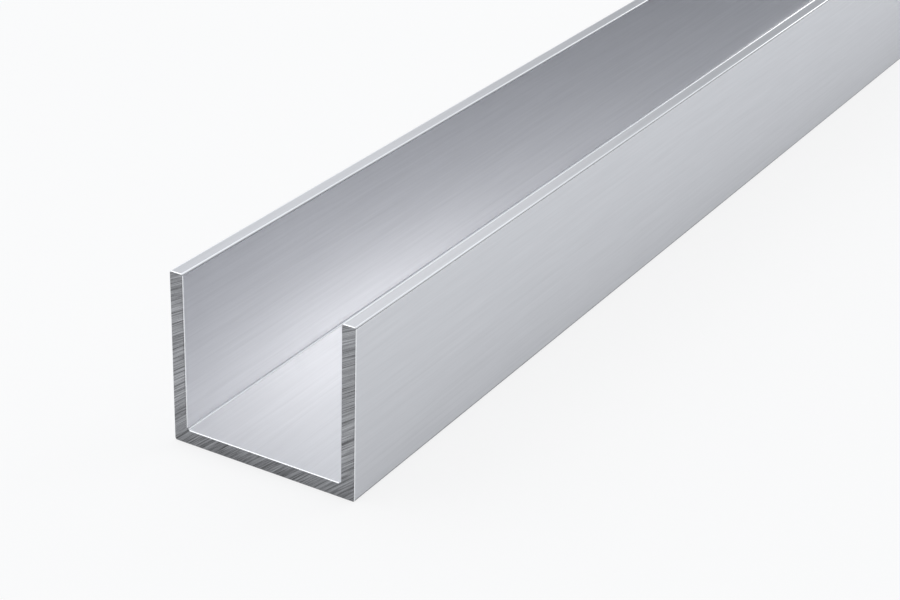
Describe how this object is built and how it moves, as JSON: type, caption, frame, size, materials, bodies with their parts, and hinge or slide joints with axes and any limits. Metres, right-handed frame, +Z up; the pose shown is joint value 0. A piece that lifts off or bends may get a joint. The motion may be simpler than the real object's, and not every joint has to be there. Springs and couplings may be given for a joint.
{
  "type": "aluminium u channel",
  "caption": "Straight length of extruded aluminium U channel with square-sawn, deburred ends, for edging, guiding, glazing or light framing.",
  "frame": {"origin": "middle of the web's underside, halfway along the length", "axes": "+X across the web, +Y along the length, +Z up the flanges and out of the open side"},
  "size_m": [0.04, 1, 0.035],
  "materials": {
    "aluminium": "satin as extruded, with fine lines along the length, and bare sawn ends"
  },
  "bodies": {
    "root": {"u_channel": "aluminium"}
  },
  "joints": []
}
